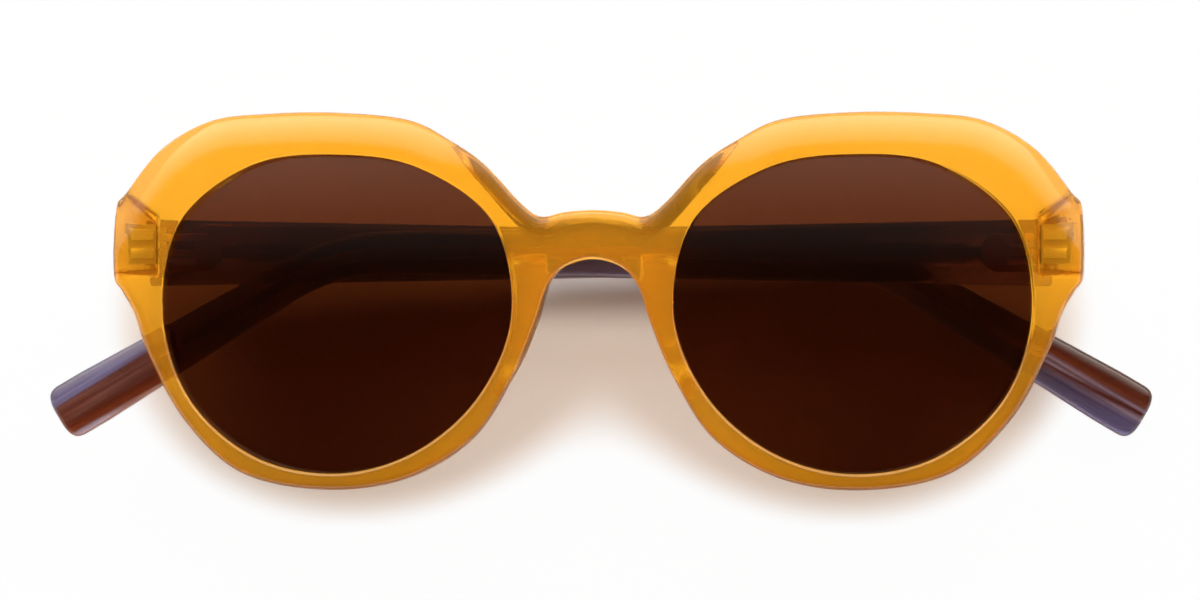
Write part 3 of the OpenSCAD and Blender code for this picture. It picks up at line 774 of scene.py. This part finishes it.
# Seen by the camera, the paper is overlaid with painted white that hides its real shadows away from the
# rims: by the distance outside a circle round each lens, or above or below; near the rims the painted white
# is tinted as painted warm shade, and it is least just under the temples between the rims, where the paper
# stays darker
where = newNode(tree, "ShaderNodeTexCoord")
apart = newNode(tree, "ShaderNodeSeparateXYZ")
moved = newNode(tree, "ShaderNodeMath", {1: wall["aside"] * mm}, operation="ADD")
squared = newNode(tree, "ShaderNodeMath", {1: 2.0}, operation="POWER")
flat = newNode(tree, "ShaderNodeMath", {1: (wall["smooth"] * mm) ** 2}, operation="ADD")
aside = newNode(tree, "ShaderNodeMath", operation="SQRT")
fromLens = newNode(tree, "ShaderNodeMath", {1: lensX * mm}, operation="SUBTRACT")
upDown = newNode(tree, "ShaderNodeMath", {1: -lensZ * mm}, operation="ADD")
nearer = newNode(tree, "ShaderNodeMath", {1: wall["noseSide"]}, operation="MULTIPLY")
across = newNode(tree, "ShaderNodeMath", operation="MAXIMUM")
stretch = newNode(tree, "ShaderNodeMath", {1: wall["squash"]}, operation="MULTIPLY")
place = newNode(tree, "ShaderNodeCombineXYZ")
away = newNode(tree, "ShaderNodeVectorMath", operation="LENGTH")
fade = fadeOver(tree, wall["fade"])
below = fadeOver(tree, wall["below"])
above = fadeOver(tree, wall["above"])
outside = fadeOver(tree, wall["gap"], wall["least"])
under = fadeOver(tree, wall["under"], wall["least"])
ends = newNode(tree, "ShaderNodeMath", operation="MAXIMUM")
most = newNode(tree, "ShaderNodeMath", operation="MAXIMUM")
# Painted warm shade: the painted white turns warm near the rims
paintedWarmShade = ramp(tree, [(0.0, wall["warm"]), (1.0, plain)], "LINEAR")
share = newNode(tree, "ShaderNodeMapRange", {"To Min": wall["white"][0], "To Max": wall["white"][1]})
lifted = newNode(tree, "ShaderNodeMath", operation="MAXIMUM")
liftedToo = newNode(tree, "ShaderNodeMath", operation="MAXIMUM")
shaded = newNode(tree, "ShaderNodeMath", operation="MULTIPLY")
path = newNode(tree, "ShaderNodeLightPath")
amount = newNode(tree, "ShaderNodeMath", operation="MULTIPLY")
# Painted white, mixed over the paper for camera rays only
white = newNode(tree, "ShaderNodeEmission", {"Strength": 1.0})
seen = newNode(tree, "ShaderNodeMixShader")
joinAll(tree, [(where.outputs["Object"], apart.inputs[0]), (apart.outputs["X"], moved.inputs[0]),
               (moved.outputs[0], squared.inputs[0]), (squared.outputs[0], flat.inputs[0]),
               (flat.outputs[0], aside.inputs[0]), (aside.outputs[0], fromLens.inputs[0]),
               (apart.outputs["Z"], upDown.inputs[0]), (upDown.outputs[0], stretch.inputs[0]),
               (fromLens.outputs[0], nearer.inputs[0]), (fromLens.outputs[0], across.inputs[0]),
               (nearer.outputs[0], across.inputs[1]), (across.outputs[0], place.inputs["X"]),
               (stretch.outputs[0], place.inputs["Y"]), (place.outputs[0], away.inputs[0]),
               (away.outputs["Value"], fade.inputs["Value"]), (apart.outputs["Z"], below.inputs["Value"]),
               (apart.outputs["Z"], above.inputs["Value"]), (above.outputs[0], ends.inputs[0]),
               (below.outputs[0], ends.inputs[1]), (ends.outputs[0], most.inputs[1]),
               (fade.outputs[0], most.inputs[0]), (most.outputs[0], paintedWarmShade.inputs[0]),
               (paintedWarmShade.outputs[0], white.inputs["Color"]), (most.outputs[0], share.inputs["Value"]),
               (aside.outputs[0], outside.inputs["Value"]), (apart.outputs["Z"], under.inputs["Value"]),
               (outside.outputs[0], lifted.inputs[0]), (under.outputs[0], lifted.inputs[1]),
               (lifted.outputs[0], liftedToo.inputs[0]), (above.outputs[0], liftedToo.inputs[1]),
               (share.outputs[0], shaded.inputs[0]), (liftedToo.outputs[0], shaded.inputs[1]),
               (shaded.outputs[0], amount.inputs[0]), (path.outputs["Is Camera Ray"], amount.inputs[1]),
               (amount.outputs[0], seen.inputs[0]), (shader.outputs[0], seen.inputs[1]),
               (white.outputs[0], seen.inputs[2]), (facing.outputs["Backfacing"], mix.inputs[0]),
               (seen.outputs[0], mix.inputs[1]), (clear.outputs[0], mix.inputs[2]),
               (mix.outputs[0], out.inputs["Surface"])])
backdrop = makeSheet("backdrop", wall, paper)
backdrop.visible_shadow = False


# A card seen only in reflections: dark level with the camera, brighter upwards like a large soft lamp
card = {"y": -760, "wide": 2600, "low": -900, "high": 2400, "strength": 4.0, "colour": (1.0, 0.95, 0.84),
        "stops": [(-0.9, 0.003), (0.05, 0.004), (0.13, 0.07), (0.22, 0.25), (0.48, 0.5), (0.98, 0.92),
                  (1.5, 0.92), (1.9, 0.2), (2.4, 0.1)]}
glow, tree, shader, _ = startMaterial("glow", {"Base Color": (0, 0, 0, 1), "Specular IOR Level": 0.0})
shader.inputs["Emission Strength"].default_value = card["strength"]
where = newNode(tree, "ShaderNodeTexCoord")
apart = newNode(tree, "ShaderNodeSeparateXYZ")
height = newNode(tree, "ShaderNodeMapRange", {"From Min": card["low"] * mm, "From Max": card["high"] * mm})
tall = (card["high"] - card["low"]) * mm
stops = [((z - card["low"] * mm) / tall, [v * c for c in card["colour"]]) for z, v in card["stops"]]
bright = ramp(tree, stops, "LINEAR")
joinAll(tree, [(where.outputs["Object"], apart.inputs[0]), (apart.outputs["Z"], height.inputs["Value"]),
               (height.outputs[0], bright.inputs[0]), (bright.outputs[0], shader.inputs["Emission Color"])])
glowCard = makeSheet("glowCard", card, glow, turned=True)
glowCard.visible_camera = glowCard.visible_diffuse = False
glowCard.visible_transmission = glowCard.visible_shadow = False


# A lamp turned towards its aim, by the angles of the way between them, and not seen in reflections
def areaLamp(name, place, aim, size, watts):
    data = bpy.data.lights.new(name, "AREA")
    data.shape, data.size, data.size_y, data.energy = "RECTANGLE", size[0], size[1], watts
    lamp = bpy.data.objects.new(name, data)
    lamp.location = place
    away = np.array(place) - np.array(aim)
    lean = math.atan2(math.hypot(away[0], away[1]), away[2])
    lamp.rotation_euler = (lean, 0, math.atan2(away[0], -away[1]))
    lamp.visible_glossy = False
    scene.collection.objects.link(lamp)


# Three strips one above the other, each brighter than the one below, on an arc about the glasses: a row has
# a strip's name, the middle and the span of its angle in degrees, and its brightness
strips = {"away": 0.75, "wide": 1.6,
          "rows": (("softbox", 18, 16, 0.4), ("halfKey", 33, 14, 1.5), ("key", 50, 20, 6.8))}
for name, middle, angle, shine in strips["rows"]:
    lift, high = math.radians(middle), strips["away"] * math.radians(angle)
    place = (0, -strips["away"] * math.cos(lift), strips["away"] * math.sin(lift))
    areaLamp(name, place, (0, 0, 0), (strips["wide"], high), shine * math.pi * strips["wide"] * high)

world = bpy.data.worlds.new("studio")
scene.world = world
world.use_nodes = True
tree = world.node_tree
tree.nodes.clear()
path = newNode(tree, "ShaderNodeLightPath")
seen = newNode(tree, "ShaderNodeMath", operation="MAXIMUM")
seenToo = newNode(tree, "ShaderNodeMath", operation="MAXIMUM")
room = {"fill": 0.105, "warm": (1.0, 0.80, 0.62)}
level = newNode(tree, "ShaderNodeMapRange", {"To Min": room["fill"], "To Max": 1.0})
colour = ramp(tree, [(0.0, room["warm"]), (1.0, plain)], "LINEAR")
sky = newNode(tree, "ShaderNodeBackground")
out = newNode(tree, "ShaderNodeOutputWorld")
joinAll(tree, [(path.outputs["Is Camera Ray"], seen.inputs[0]),
               (path.outputs["Is Glossy Ray"], seen.inputs[1]), (seen.outputs[0], seenToo.inputs[0]),
               (path.outputs["Is Transmission Ray"], seenToo.inputs[1]),
               (seenToo.outputs[0], level.inputs[0]), (level.outputs[0], sky.inputs["Strength"]),
               (seenToo.outputs[0], colour.inputs[0]), (colour.outputs[0], sky.inputs["Color"]),
               (sky.outputs[0], out.inputs["Surface"])])

view = {"scale": 7.2, "middle": (593.2, 259), "size": (1200, 600), "away": 1750, "plane": -2, "yaw": 4.6,
        "sensor": 36, "clip": (0.01, 10)}
camera = bpy.data.cameras.new("camera")
camera.sensor_width = view["sensor"]
camera.lens = view["sensor"] * view["away"] / (view["size"][0] / view["scale"])
camera.clip_start, camera.clip_end = view["clip"]
cameraPlace = bpy.data.objects.new("camera", camera)
yaw = math.radians(view["yaw"])
aimX = (view["size"][0] / 2 - view["middle"][0]) / view["scale"]
aimZ = (view["middle"][1] - view["size"][1] / 2) / view["scale"]
cameraPlace.location = ((aimX + view["away"] * math.sin(yaw)) * mm,
                        (view["plane"] - view["away"] * math.cos(yaw)) * mm, aimZ * mm)
cameraPlace.rotation_euler = (math.pi / 2, 0, yaw)
scene.collection.objects.link(cameraPlace)
scene.camera = cameraPlace
print("stage, lights and camera ready")
